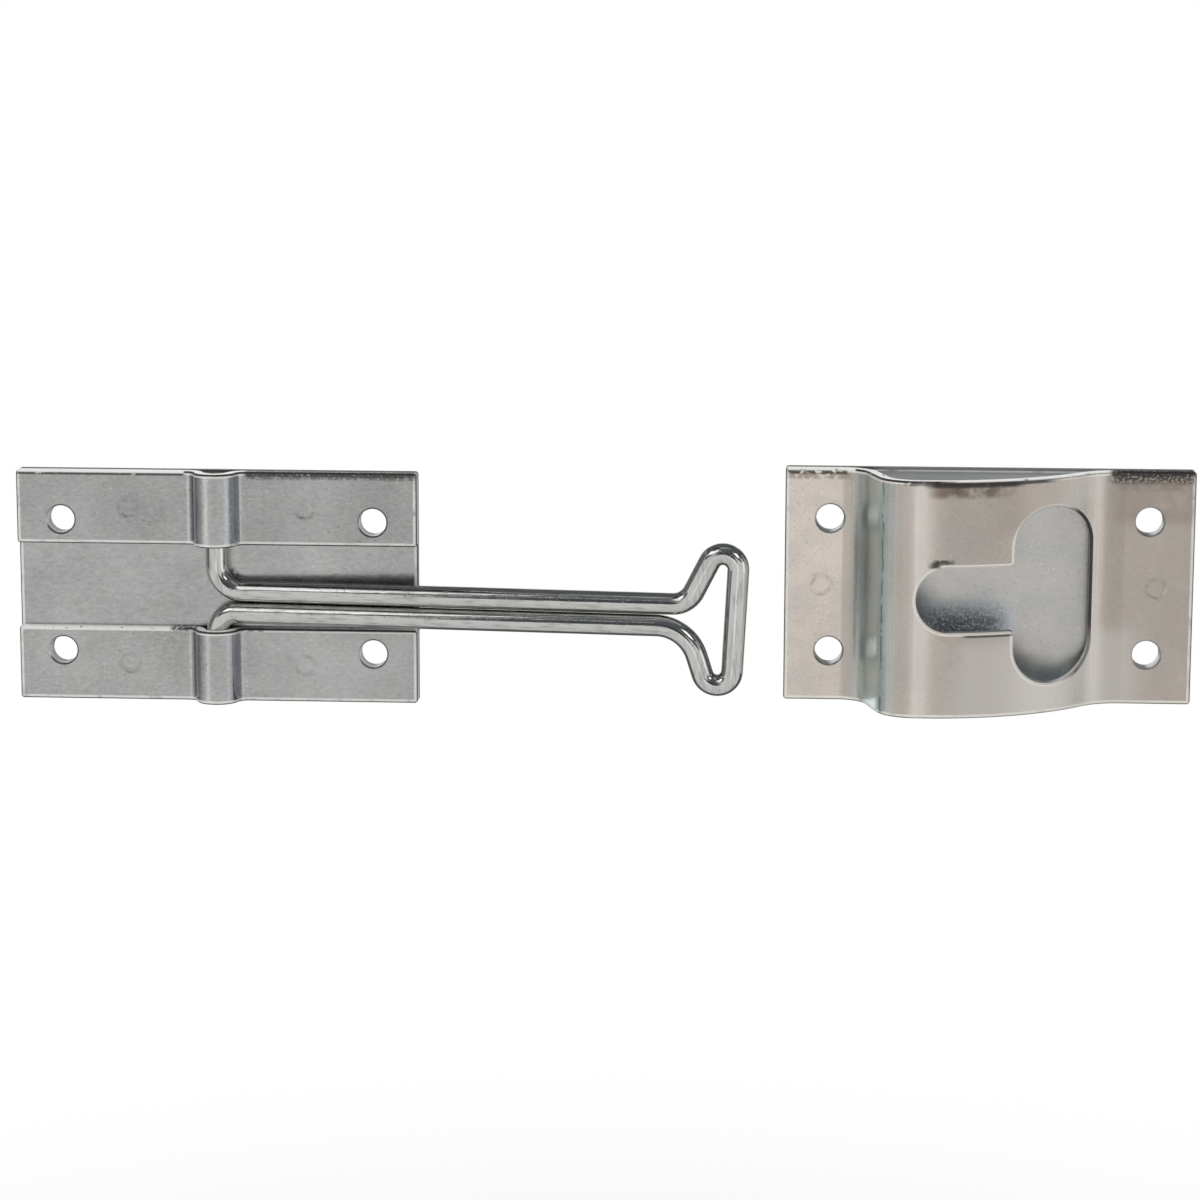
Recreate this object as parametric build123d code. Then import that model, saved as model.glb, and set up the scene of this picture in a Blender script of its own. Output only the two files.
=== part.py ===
from build123d import *
import math
import os

# Door hold-back in two halves, laid side by side as they are screwed to a flat wall:
# a hinged wire T hook on its plate, and the keeper whose T slot the hook drops into.
# X runs along the wall to the right, Z up and Y into the wall.
# The origin is the middle of the hook plate's screw pattern, on the wall face.

# Pressed sheet, the same for both halves
SHEET = 1.9                 # thickness of every layer
PLATE_WIDTH = 76.2
PLATE_HEIGHT = 44.0
PLATE_CORNER = 0.6          # corner radius in front view
EDGE_BREAK = 0.3            # front edges, broken by the punch
SCREW_HOLE = 5.2            # diameter
SCREW_INSET_X = 8.4         # screw centre to the plate's end

# Marks of the spot welds that hold the layers together
WELD_WIDTH = 4.0
WELD_FLOOR = 3.0            # flat floor of a mark
WELD_DEPTH = 0.12

# Straps of the hook plate, each with a knuckle in the middle
STRAP_GAP = 16.0            # bare back plate between the two straps
SCREW_FROM_GAP = 4.6        # screw centre to the strap edge at that gap
KNUCKLE_FOOT = 1.7          # outside radius where a knuckle rises from its strap
STRAP_WELD_X = 16.8         # weld centre to the hinge axis

# Wire hook
WIRE = 4.1                  # diameter
PIN_CLEARANCE = 0.25        # round each pin in its knuckle
PIN_INSET = 3.0             # a pin's end to the plate's edge, with the hook lifted to the middle
PIN_CHAMFER = 0.4           # at a pin's end
UPPER_PIN_BEND = 5.0        # bend radii are along the wire's centre
LOWER_PIN_BEND = 3.9
BEND_DIP = 0.68             # the lower bend hangs this far into the mouth of its knuckle
LEG_GAP = 0.06              # between the two legs
HOOK_SWING = 5.45           # degrees, the hook as it hangs loose, off the wall
HOOK_REACH = 98.9           # hinge axis to the middle of the crossbar
HEAD_DEPTH = 9.0            # where the legs part to the middle of the crossbar
HEAD_HEIGHT = 28.9          # over the outside of the crossbar
UPPER_THROAT_BEND = 4.5
LOWER_THROAT_BEND = 8.0
HEAD_BEND = 2.85
HEAD_LEAN = 3.0             # degrees, top of the crossbar leans away from the hinge
HEAD_DROP = 0.5             # middle of the crossbar below the line of the legs

# Keeper: back plate and bulged strap
KEEPER_GAP = 6.45           # crossbar to the keeper's near end, with the hook flat on the wall
KEEPER_Z = 1.9              # middle of the keeper above the middle of the hook plate
LEFT_FLANGE = 10.3          # flat part of each flange
RIGHT_FLANGE = 13.0
BULGE_HEIGHT = 16.5         # front of the bulge above the front of the flanges
WALL_ANGLE = 75.0           # degrees, steep side of the bulge from the flange
WALL_FOOT = 5.0             # outside radii of the bulge
CREST_BEND = 7.7
CREST_FLAT = 1.4
RAMP_TOE = 10.0             # outside radius where the ramp runs out on the right flange
KEEPER_WELD_INSET = 6.9     # weld centre to the keeper's end

# T slot in the bulge, sized by the hook that goes through it
HEAD_ROOM = 2.05            # above and below the crossbar
LEG_ROOM = 1.92             # above and below the pair of legs
ENTRY_ROOM = 10.4           # along the wall, beside the crossbar
SLOT_CORNER = 0.8           # where the two slots meet
ENTRY_CENTRE = 26.8         # middle of the tall slot to the keeper's right end
THROAT_SLOT = 18.1          # tall slot's near edge to the narrow slot's round end

# Worked out from the sizes above
SCREW_PITCH_X = PLATE_WIDTH - 2 * SCREW_INSET_X
SCREW_PITCH_Z = STRAP_GAP + 2 * SCREW_FROM_GAP
STRAP_HEIGHT = (PLATE_HEIGHT - STRAP_GAP) / 2
BORE = WIRE / 2 + PIN_CLEARANCE
WIRE_Y = -(SHEET + BORE)
LEG_OFFSET = (WIRE + LEG_GAP) / 2
HOOK_DROP = STRAP_GAP / 2 - LEG_OFFSET - LOWER_PIN_BEND + BEND_DIP
PIN_HALF = PLATE_HEIGHT / 2 - PIN_INSET
KEEPER_X = HOOK_REACH + WIRE / 2 + KEEPER_GAP + PLATE_WIDTH / 2
SLOT_TALL = HEAD_HEIGHT + 2 * HEAD_ROOM
SLOT_WIDE = WIRE + ENTRY_ROOM
SLOT_NARROW = 2 * (LEG_OFFSET + WIRE / 2 + LEG_ROOM)
CUT_DEPTH = 2 * (2 * SHEET + BULGE_HEIGHT)      # goes right through the bulge and both layers


def front_view(x: float, z: float) -> Plane:
    """Plane on the wall face that looks at the part from the front."""
    return Plane(origin=(x, 0, z), x_dir=(1, 0, 0), z_dir=(0, -1, 0))


def end_view(x: float, z: float) -> Plane:
    """Plane across the sheet at height z, with its second axis out from the wall."""
    return Plane(origin=(x, 0, z), x_dir=(1, 0, 0), z_dir=(0, 0, -1))


def front_rim(piece: Part) -> ShapeList:
    """Edges round the front of a sheet piece, with those of its holes and slots."""
    least = math.cos(math.radians(WALL_ANGLE)) / 2
    front = [face for face in piece.faces() if face.normal_at().Y < -least]
    edges = [edge for face in front for edge in face.edges()]
    return ShapeList(edge for edge in edges if sum(edge.is_same(other) for other in edges) == 1)


def screw_holes(x: float, z: float) -> Part:
    """The four screw holes of a plate centred at x, z, as one cut."""
    holes = Sketch() + GridLocations(SCREW_PITCH_X, SCREW_PITCH_Z, 2, 2) * Circle(SCREW_HOLE / 2)
    return extrude(front_view(x, z) * holes, CUT_DEPTH / 2, both=True)


def weld_mark(x: float, z: float) -> Part:
    """Shallow round sink of one spot weld in the front of a strap, as a cut."""
    top_centre = (Align.CENTER, Align.CENTER, Align.MAX)
    sink = Cone(WELD_FLOOR / 2, WELD_WIDTH / 2, WELD_DEPTH, align=top_centre)
    return front_view(x, z).offset(2 * SHEET) * sink


def back_plate(x: float, z: float) -> Part:
    """Flat back plate of either half, centred at x, z on the wall."""
    blank = front_view(x, z) * RectangleRounded(PLATE_WIDTH, PLATE_HEIGHT, PLATE_CORNER)
    plate = extrude(blank, SHEET)
    return chamfer(front_rim(plate), EDGE_BREAK) - screw_holes(x, z)


def pressed_sheet(front_line: Wire, height: float) -> Part:
    """Sheet piece whose front face follows a line drawn in end view, and runs down from it."""
    section = make_face(offset(front_line, SHEET, side=Side.LEFT))
    sheet = extrude(section, height, dir=(0, 0, -1))
    return fillet(sheet.edges().filter_by(Axis.Y), PLATE_CORNER)


def knuckle_line(top: float) -> Wire:
    """Front of a knuckled strap in end view: flat, knuckle over the pin, flat."""
    outside = BORE + SHEET
    foot_centre = math.sqrt((outside + KNUCKLE_FOOT) ** 2 - (SHEET + KNUCKLE_FOOT - BORE) ** 2)
    rise = math.degrees(math.acos((SHEET + KNUCKLE_FOOT - BORE) / (outside + KNUCKLE_FOOT)))
    left = Line((-PLATE_WIDTH / 2, 2 * SHEET), (-foot_centre, 2 * SHEET))
    left_foot = JernArc(left @ 1, left % 1, KNUCKLE_FOOT, rise)
    arch = JernArc(left_foot @ 1, left_foot % 1, outside, -2 * rise)
    right_foot = JernArc(arch @ 1, arch % 1, KNUCKLE_FOOT, rise)
    right = Line(right_foot @ 1, (PLATE_WIDTH / 2, 2 * SHEET))
    return end_view(0, top) * Wire([left, left_foot, arch, right_foot, right])


def knuckled_strap(top: float) -> Part:
    """Strap of the hook plate with its upper edge at height top."""
    strap = pressed_sheet(knuckle_line(top), STRAP_HEIGHT)
    strap -= screw_holes(0, 0)
    strap = chamfer(front_rim(strap), EDGE_BREAK)
    weld_z = top - STRAP_HEIGHT / 2
    return strap - [weld_mark(x, weld_z) for x in (-STRAP_WELD_X, STRAP_WELD_X)]


def half_hook(side: int) -> list:
    """Corner points of the upper (1) or lower (-1) half of the wire, from pin end to crossbar."""
    throat_x = HOOK_REACH - HEAD_DEPTH
    head = Pos(throat_x, 0, -HOOK_DROP) * Rot(Y=HEAD_LEAN)
    bend_x = HEAD_DEPTH - HEAD_BEND
    bend_z = (HEAD_HEIGHT - WIRE) / 2 - HEAD_BEND - side * HEAD_DROP - LEG_OFFSET
    flare = math.atan2(bend_z, bend_x) + math.asin(HEAD_BEND / math.hypot(bend_x, bend_z))
    leg_z = side * LEG_OFFSET - HOOK_DROP
    bar_z = side * (LEG_OFFSET + HEAD_DEPTH * math.tan(flare))
    return [
        Vector(0, 0, side * PIN_HALF - HOOK_DROP),
        Vector(0, 0, leg_z),
        Vector(throat_x, 0, leg_z),
        (head * Pos(HEAD_DEPTH, 0, bar_z)).position,
    ]


def wire_hook() -> Part:
    """T hook bent from one wire, from the upper pin round the head to the lower pin."""
    upper = half_hook(1)
    lower = half_hook(-1)
    bends = [UPPER_PIN_BEND, UPPER_THROAT_BEND, HEAD_BEND, HEAD_BEND, LOWER_THROAT_BEND, LOWER_PIN_BEND]
    path = FilletPolyline(*upper, *reversed(lower), radius=bends)
    hook = sweep(Plane(path @ 0, z_dir=path % 0) * Circle(WIRE / 2), path)
    pin_ends = hook.faces().filter_by(Axis.Z)
    hook = chamfer(pin_ends.edges(), PIN_CHAMFER)
    return Pos(0, WIRE_Y, 0) * Rot(Z=-HOOK_SWING) * hook


def bulge_line(x: float, top: float) -> Wire:
    """Front of the keeper strap in end view: flange, steep wall, crest, ramp, flange."""
    turn = math.radians(WALL_ANGLE)
    wall_rise = BULGE_HEIGHT - (WALL_FOOT + CREST_BEND) * (1 - math.cos(turn))
    left = Line((-PLATE_WIDTH / 2, 2 * SHEET), (LEFT_FLANGE - PLATE_WIDTH / 2, 2 * SHEET))
    foot = JernArc(left @ 1, left % 1, WALL_FOOT, WALL_ANGLE)
    wall = PolarLine(foot @ 1, wall_rise / math.sin(turn), direction=foot % 1)
    crest = JernArc(wall @ 1, wall % 1, CREST_BEND, -WALL_ANGLE)
    flat = Line(crest @ 1, crest @ 1 + Vector(CREST_FLAT, 0))
    ramp_run = PLATE_WIDTH / 2 - RIGHT_FLANGE - (flat @ 1).X
    ramp_angle = 2 * math.atan2(BULGE_HEIGHT, ramp_run)
    ramp_bend = ramp_run / math.sin(ramp_angle) - RAMP_TOE
    ramp = JernArc(flat @ 1, flat % 1, ramp_bend, -math.degrees(ramp_angle))
    toe = JernArc(ramp @ 1, ramp % 1, RAMP_TOE, math.degrees(ramp_angle))
    right = Line(toe @ 1, (PLATE_WIDTH / 2, 2 * SHEET))
    return end_view(x, top) * Wire([left, foot, wall, crest, flat, ramp, toe, right])


def t_slot() -> Part:
    """Cut for the tall entry slot and the narrow slot that runs off its near side."""
    entry_x = PLATE_WIDTH / 2 - ENTRY_CENTRE
    near_x = entry_x - SLOT_WIDE / 2
    narrow_reach = THROAT_SLOT + SLOT_WIDE / 2
    entry = Pos(entry_x, 0) * Rot(Z=90) * SlotOverall(SLOT_TALL, SLOT_WIDE)
    narrow = Pos(near_x - THROAT_SLOT + narrow_reach / 2, 0) * SlotOverall(narrow_reach, SLOT_NARROW)
    outline = entry + narrow
    near = outline.vertices().filter_by_position(Axis.X, near_x - SLOT_CORNER, near_x + SLOT_CORNER)
    meets = near.filter_by_position(Axis.Y, -SLOT_NARROW / 2, SLOT_NARROW / 2)
    outline = fillet(meets, SLOT_CORNER)
    return extrude(front_view(KEEPER_X, KEEPER_Z) * outline, CUT_DEPTH)


def keeper_strap() -> Part:
    """Bulged front strap of the keeper with its T slot."""
    strap = pressed_sheet(bulge_line(KEEPER_X, KEEPER_Z + PLATE_HEIGHT / 2), PLATE_HEIGHT)
    strap -= screw_holes(KEEPER_X, KEEPER_Z)
    strap -= t_slot()
    strap = chamfer(front_rim(strap), EDGE_BREAK)
    weld_x = PLATE_WIDTH / 2 - KEEPER_WELD_INSET
    return strap - [weld_mark(x, KEEPER_Z) for x in (KEEPER_X - weld_x, KEEPER_X + weld_x)]


def main() -> None:
    """Build every piece and write each to its own file."""
    pieces = {
        "hook_back_plate": back_plate(0, 0),
        "upper_knuckle_strap": knuckled_strap(PLATE_HEIGHT / 2),
        "lower_knuckle_strap": knuckled_strap(-STRAP_GAP / 2),
        "wire_t_hook": wire_hook(),
        "keeper_back_plate": back_plate(KEEPER_X, KEEPER_Z),
        "keeper_strap": keeper_strap(),
    }
    os.makedirs("parts", exist_ok=True)
    for name, piece in pieces.items():
        export_step(piece, f"parts/{name}.step")


main()
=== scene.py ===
import logging
import math
from collections.abc import Sequence
from dataclasses import dataclass, replace
from enum import Enum
from typing import Any, NamedTuple, Union

import bpy
from mathutils import Matrix, Vector


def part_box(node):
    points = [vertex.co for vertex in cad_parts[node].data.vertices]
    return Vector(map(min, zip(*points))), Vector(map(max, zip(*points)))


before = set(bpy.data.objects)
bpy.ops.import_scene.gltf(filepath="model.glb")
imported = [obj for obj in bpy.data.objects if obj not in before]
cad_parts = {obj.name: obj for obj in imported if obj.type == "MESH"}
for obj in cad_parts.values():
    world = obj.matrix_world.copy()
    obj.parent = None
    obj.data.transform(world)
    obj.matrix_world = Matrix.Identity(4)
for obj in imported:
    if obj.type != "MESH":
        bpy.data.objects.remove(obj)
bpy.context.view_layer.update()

# Zinc plated door hold-back: a hinged wire T hook on its plate, and the keeper beside it.
# The solids keep their form. This script gives each its finish and sets up the studio.

LOG = logging.getLogger("hold_back")
MM = 0.001
FRONT = (0.0, -1.0, 0.0)
WHITE = (1.0, 1.0, 1.0)
MID_NOISE = 0.5

Colour = tuple[float, float, float]
Place = tuple[float, float, float]
Sides = tuple[float, float]
# A span has a start and an end, and a band has a fade as well.
Span = tuple[float, float]
Band = tuple[float, float, float]
Feed = Union["Term", bpy.types.NodeSocket, float, Sequence[float]]


class Node(Enum):
    """The pieces of the hold-back, by the names of their solids."""

    HOOK_BACK = "hook_back_plate"
    UPPER_STRAP = "upper_knuckle_strap"
    LOWER_STRAP = "lower_knuckle_strap"
    WIRE_HOOK = "wire_t_hook"
    KEEPER_BACK = "keeper_back_plate"
    KEEPER_STRAP = "keeper_strap"

    @property
    def piece(self) -> bpy.types.Object:
        """The solid's object."""
        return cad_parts[self.value]

    @property
    def box(self) -> tuple[Vector, Vector]:
        """Lowest and highest corner of the solid, in millimetres."""
        low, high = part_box(self.value)
        return low / MM, high / MM


class Axis(Enum):
    """Direction that a grain is drawn out along, as its place in a vector."""

    X = 0
    Y = 1
    Z = 2


class MixKind(Enum):
    """What a Mix node mixes: Blender's name, and the places of its two ends and of its result."""

    COLOUR = ("RGBA", 6, 7, 2)
    VECTOR = ("VECTOR", 4, 5, 1)


@dataclass(frozen=True)
class Pattern:
    """A kind of noise, in millimetres.

    Attributes:
        size: Size of its spots.
        detail: How many finer layers it has.
        seed: Shift that makes one noise unlike another.
        drawn: Direction that the spots are drawn out along.
        length: How many times longer they are that way.
        levels: Noise levels between which a spot fades in.
    """

    size: float
    detail: float = 2.0
    seed: float = 0.0
    drawn: Axis | None = None
    length: float = 1.0
    levels: Span = (0.0, 1.0)

    def moved(self, shift: float) -> "Pattern":
        """The same kind of noise, with its seed shifted."""
        return replace(self, seed=self.seed + shift)


class Term:
    """One shader value, so that node maths is written as plain arithmetic."""

    def __init__(self, graph: "Graph", socket: bpy.types.NodeSocket) -> None:
        """Wrap a socket.

        Args:
            graph: The node graph that the socket is in.
            socket: The output socket that gives the value.
        """
        self.graph = graph
        self.socket = socket

    def __add__(self, other: Feed) -> "Term":
        """Sum."""
        return self.graph.maths("ADD", self, other)

    def __sub__(self, other: Feed) -> "Term":
        """Difference."""
        return self.graph.maths("SUBTRACT", self, other)

    def __rsub__(self, other: Feed) -> "Term":
        """Difference from a plain number."""
        return self.graph.maths("SUBTRACT", other, self)

    def __mul__(self, other: Feed) -> "Term":
        """Product."""
        return self.graph.maths("MULTIPLY", self, other)

    def __abs__(self) -> "Term":
        """Value without its sign."""
        return self.graph.maths("ABSOLUTE", self)

    __radd__ = __add__
    __rmul__ = __mul__

    def hypot(self, other: "Term") -> "Term":
        """Length of the vector with these two components."""
        return self.graph.maths("SQRT", self * self + other * other)

    def most(self, other: Feed) -> "Term":
        """The larger of the two."""
        return self.graph.maths("MAXIMUM", self, other)

    def least(self, other: Feed) -> "Term":
        """The smaller of the two."""
        return self.graph.maths("MINIMUM", self, other)

    def rise(self, low: float, high: float) -> "Term":
        """Smooth step.

        Args:
            low: Value at which the result is 0.
            high: Value at which the result is 1, which may be the lower one.

        Returns:
            The step, from 0 to 1.
        """
        ends = {"Value": self, "From Min": low, "From Max": high}
        made = self.graph.node("ShaderNodeMapRange", {"interpolation_type": "SMOOTHSTEP"}, ends)
        return Term(self.graph, made.outputs["Result"])

    def within(self, low: float, high: float, soft: float) -> "Term":
        """Mask of a stretch of values.

        Args:
            low: Start of the stretch.
            high: End of the stretch.
            soft: Length over which each end fades.

        Returns:
            1 inside the stretch and 0 outside it.
        """
        half = soft / 2
        return self.rise(low - half, low + half) * (1 - self.rise(high - half, high + half))


def opaque(colour: Feed) -> Feed:
    """A plain colour with its alpha, or a link as it is."""
    return (*colour, 1.0) if isinstance(colour, tuple) else colour


class Graph:
    """A node tree that is filled by code."""

    def __init__(self, tree: bpy.types.NodeTree) -> None:
        """Take over a tree and empty it.

        Args:
            tree: Node tree of a material or a world.
        """
        self.tree = tree
        tree.nodes.clear()

    def node(
        self, kind: str, settings: dict[str, Any] | None = None,
        inputs: dict[str | int, Feed] | None = None,
    ) -> bpy.types.Node:
        """Add a node.

        Args:
            kind: Blender's name of the node type.
            settings: Properties of the node, which are set first.
            inputs: Values or links of its sockets, by name or place.

        Returns:
            The new node.
        """
        made = self.tree.nodes.new(kind)
        for name, value in (settings or {}).items():
            setattr(made, name, value)
        for key, value in (inputs or {}).items():
            socket = made.inputs[key]
            if isinstance(value, Term):
                self.tree.links.new(value.socket, socket)
            elif isinstance(value, bpy.types.NodeSocket):
                self.tree.links.new(value, socket)
            else:
                socket.default_value = value
        return made

    def maths(self, operation: str, *values: Feed) -> Term:
        """A Math node.

        Args:
            operation: Blender's name of the operation.
            values: Its one or two operands.

        Returns:
            The result.
        """
        made = self.node("ShaderNodeMath", {"operation": operation}, dict(enumerate(values)))
        return Term(self, made.outputs[0])

    def mix(self, kind: MixKind, first: Feed, second: Feed, share: Feed) -> bpy.types.NodeSocket:
        """A Mix node.

        Args:
            kind: What it mixes.
            first: Value where the share is 0.
            second: Value where the share is 1.
            share: How much of the second value shows.

        Returns:
            The mixed value.
        """
        name, start, end, result = kind.value
        ends = {0: share, start: first, end: second}
        return self.node("ShaderNodeMix", {"data_type": name}, ends).outputs[result]

    def blend(self, first: Feed, second: Feed, share: Feed) -> bpy.types.NodeSocket:
        """Two colours, mixed by the second one's share."""
        return self.mix(MixKind.COLOUR, opaque(first), opaque(second), share)

    def toned(self, colour: Feed, tone: Feed) -> bpy.types.NodeSocket:
        """A colour made lighter or darker by a factor."""
        made = self.node("ShaderNodeVectorMath", {"operation": "SCALE"}, {0: colour, "Scale": tone})
        return made.outputs[0]

    def place(self) -> bpy.types.NodeSocket:
        """Place on the piece, in metres."""
        return self.node("ShaderNodeTexCoord").outputs["Object"]

    def point(self) -> bpy.types.NodeSocket:
        """Place on the piece, in millimetres."""
        return self.toned(self.place(), 1 / MM)

    def parts(self, vector: bpy.types.NodeSocket) -> list[Term]:
        """The X, Y and Z of a vector."""
        split = self.node("ShaderNodeSeparateXYZ", {}, {0: vector})
        return [Term(self, output) for output in split.outputs]

    def noise(self, point: bpy.types.NodeSocket, pattern: Pattern) -> Term:
        """Smooth noise.

        Args:
            point: Place on the piece, in millimetres.
            pattern: The kind of noise.

        Returns:
            Noise about 0.5, mostly from 0.3 to 0.7.
        """
        scale = [1 / pattern.size] * 3
        if pattern.drawn is not None:
            scale[pattern.drawn.value] /= pattern.length
        shift = {"Vector": point, "Location": (pattern.seed,) * 3, "Scale": scale}
        moved = self.node("ShaderNodeMapping", {}, shift).outputs[0]
        layers = {"Vector": moved, "Scale": 1.0, "Detail": pattern.detail}
        return Term(self, self.node("ShaderNodeTexNoise", {}, layers).outputs["Fac"])

    def spots(self, point: bpy.types.NodeSocket, pattern: Pattern) -> Term:
        """Noise as spots that fade in between its pattern's levels, from 0 to 1."""
        return self.noise(point, pattern).rise(*pattern.levels)

    def bump(self, height: Term, depth: float, normal: bpy.types.NodeSocket) -> bpy.types.NodeSocket:
        """Surface relief.

        Args:
            height: Height as a share of the depth.
            depth: Depth of the relief, in millimetres.
            normal: Normal of the surface without it.

        Returns:
            The bent normal.
        """
        relief = {"Distance": depth * MM, "Height": height, "Normal": normal}
        return self.node("ShaderNodeBump", {}, relief).outputs[0]

    def normal(self) -> bpy.types.NodeSocket:
        """Smooth normal of the surface."""
        return self.node("ShaderNodeNewGeometry").outputs["Normal"]

    def close(self, kind: str, shader: bpy.types.Node) -> None:
        """Link a shader to a new output node of a kind."""
        self.node(kind, {}, {"Surface": shader.outputs[0]})


class SheetMap:
    """Places on a sheet piece that its finish is drawn by, in millimetres.

    Attributes:
        graph: Node graph of the piece's material.
        point: Place on the piece.
        across: Distance from its left end.
        down: Distance below its upper edge.
        level: Distance above or below its middle.
        inset: Distance from the nearest side of its outline.
        left: How far the surface faces left, from -1 to 1.
        up: How far it faces up, from -1 to 1.
        ahead: 1 on the front and the edges, and 0 on the back.
        bent: 1 on the steep sides of a bend, and 0 on flat faces.
        sheared: 1 on cut edges and in holes, and 0 on the sheet's faces.
    """

    # Shares of the normal's Y between which a face counts as one or the other.
    back_to_front = (0.6, 0.3)
    steep_to_flat = (0.45, 0.97)
    cut_to_face = (0.05, 0.13)

    def __init__(self, graph: Graph, node: Node) -> None:
        """Measure a piece.

        Args:
            graph: Node graph of its material.
            node: The piece.
        """
        low, high = node.box
        self.graph = graph
        self.point = graph.point()
        x, _, z = graph.parts(self.point)
        self.across = x - low.x
        self.down = high.z - z
        self.level = z - (low.z + high.z) / 2
        self.inset = self.across.least(high.x - x).least(self.down).least(z - low.z)
        rightness, backness, self.up = graph.parts(
            graph.node("ShaderNodeNewGeometry").outputs["True Normal"]
        )
        flatness = abs(backness)
        self.left = rightness * -1
        self.ahead = backness.rise(*self.back_to_front)
        self.bent = 1 - flatness.rise(*self.steep_to_flat)
        self.sheared = 1 - flatness.rise(*self.cut_to_face)

    def noise(self, pattern: Pattern) -> Term:
        """Noise on the piece."""
        return self.graph.noise(self.point, pattern)

    def spots(self, pattern: Pattern) -> Term:
        """Spots on the piece, from 0 to 1."""
        return self.graph.spots(self.point, pattern)


@dataclass(frozen=True)
class DirtAndLightPatch:
    """Dirt and burnt plating, or painted light and shade, on a piece, in millimetres from its upper left
    corner.

    Attributes:
        left: Start along the piece.
        right: End along the piece.
        top: Start below the upper edge.
        bottom: End below the upper edge.
        soft: Length over which it fades.
        share: How much of it covers the zinc.
        grain: Size of its spots.
        detail: How many finer layers the spots have.
        spread: Noise levels between which a spot fades in.
        tint: Its colour.
    """

    left: float
    right: float
    top: float
    bottom: float
    soft: float = 1.0
    share: float = 0.9
    grain: float = 0.5
    detail: float = 3.0
    spread: Span = (0.36, 0.56)
    tint: Colour = (0.022, 0.019, 0.017)

    def mask(self, spot: SheetMap) -> Term:
        """Its cover.

        Args:
            spot: Map of the piece.

        Returns:
            The cover, from 0 to 1.
        """
        fade = min(self.soft, self.bottom - self.top) / 2
        wide = spot.across.within(self.left, self.right, self.soft)
        tall = spot.down.within(self.top, self.bottom, fade)
        spots = spot.spots(Pattern(self.grain, self.detail, seed=self.left, levels=self.spread))
        return wide * tall * spots * spot.ahead * self.share


class Dent(NamedTuple):
    """How a pressed mark shows: its tone beside the zinc, how much of that, and its depth."""

    tone: float
    share: float
    depth: float


@dataclass(frozen=True)
class Weld:
    """Mark of a spot weld, in millimetres from the piece's upper left corner.

    Attributes:
        across: Its middle along the piece.
        down: Its middle below the upper edge.
        ring: Radius of the ring that the electrode's rim left.
        inner: How far the ring goes inwards.
        outer: How far it goes outwards.
        soft: Length over which it fades.
        sway: How far it strays.
        faintest: How much it shows where it is faintest.
        reach: Radius of the pressed place.
        fade: Length over which that ends.
        roughest: How level the pressed place is where it is roughest.
        dent: How the ring shows.
    """

    across: float
    down: float
    ring: float = 1.9
    inner: float = 0.45
    outer: float = 0.25
    soft: float = 0.7
    sway: float = 1.6
    faintest: float = 0.45
    reach: float = 3.2
    fade: float = 0.4
    roughest: float = 0.55
    dent: Dent = Dent(tone=0.55, share=0.42, depth=2.0)

    level_pattern = Pattern(1.6, levels=(0.40, 0.54))
    stray_pattern = Pattern(1.4)
    ring_pattern = Pattern(1.8, levels=(0.44, 0.60))

    def away(self, spot: SheetMap) -> Term:
        """Distance from its middle."""
        return (spot.across - self.across).hypot(spot.down - self.down)

    def levelled(self, spot: SheetMap) -> Term:
        """Where the mark is pressed level with the sheet.

        Args:
            spot: Map of the piece.

        Returns:
            The pressed place, from 0 to 1.
        """
        near = 1 - self.away(spot).rise(self.reach - self.fade, self.reach)
        spots = spot.spots(self.level_pattern.moved(self.down - self.across))
        return near * (self.roughest + spots * (1 - self.roughest))

    def mask(self, spot: SheetMap) -> Term:
        """Uneven ring where the electrode pressed.

        Args:
            spot: Map of the piece.

        Returns:
            The ring, from 0 to 1.
        """
        stray = (spot.noise(self.stray_pattern.moved(self.across)) - MID_NOISE) * self.sway
        band = (self.ring - self.inner, self.ring + self.outer, self.soft)
        spots = spot.spots(self.ring_pattern.moved(self.down + self.across))
        ring = (self.away(spot) + stray).within(*band)
        return ring * (self.faintest + spots * (1 - self.faintest))


@dataclass(frozen=True)
class Crease:
    """Broken upright line that a tool left, in millimetres.

    Attributes:
        place: Distance from the piece's left end.
        half: Half its width, and the length over which it fades.
        sway: How far it strays.
        dent: How it shows.
    """

    place: float
    half: float = 0.16
    sway: float = 0.8
    dent: Dent = Dent(tone=0.35, share=0.6, depth=0.4)

    stray_pattern = Pattern(6.0)
    break_pattern = Pattern(2.4, seed=3.0, levels=(0.36, 0.52))

    def mask(self, spot: SheetMap) -> Term:
        """The broken line.

        Args:
            spot: Map of the piece.

        Returns:
            The line, from 0 to 1.
        """
        stray = (spot.noise(self.stray_pattern.moved(self.place)) - MID_NOISE) * self.sway
        band = (self.place - self.half, self.place + self.half, self.half)
        line = (spot.across + stray).within(*band)
        return line * spot.spots(self.break_pattern.moved(self.place))


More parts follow.
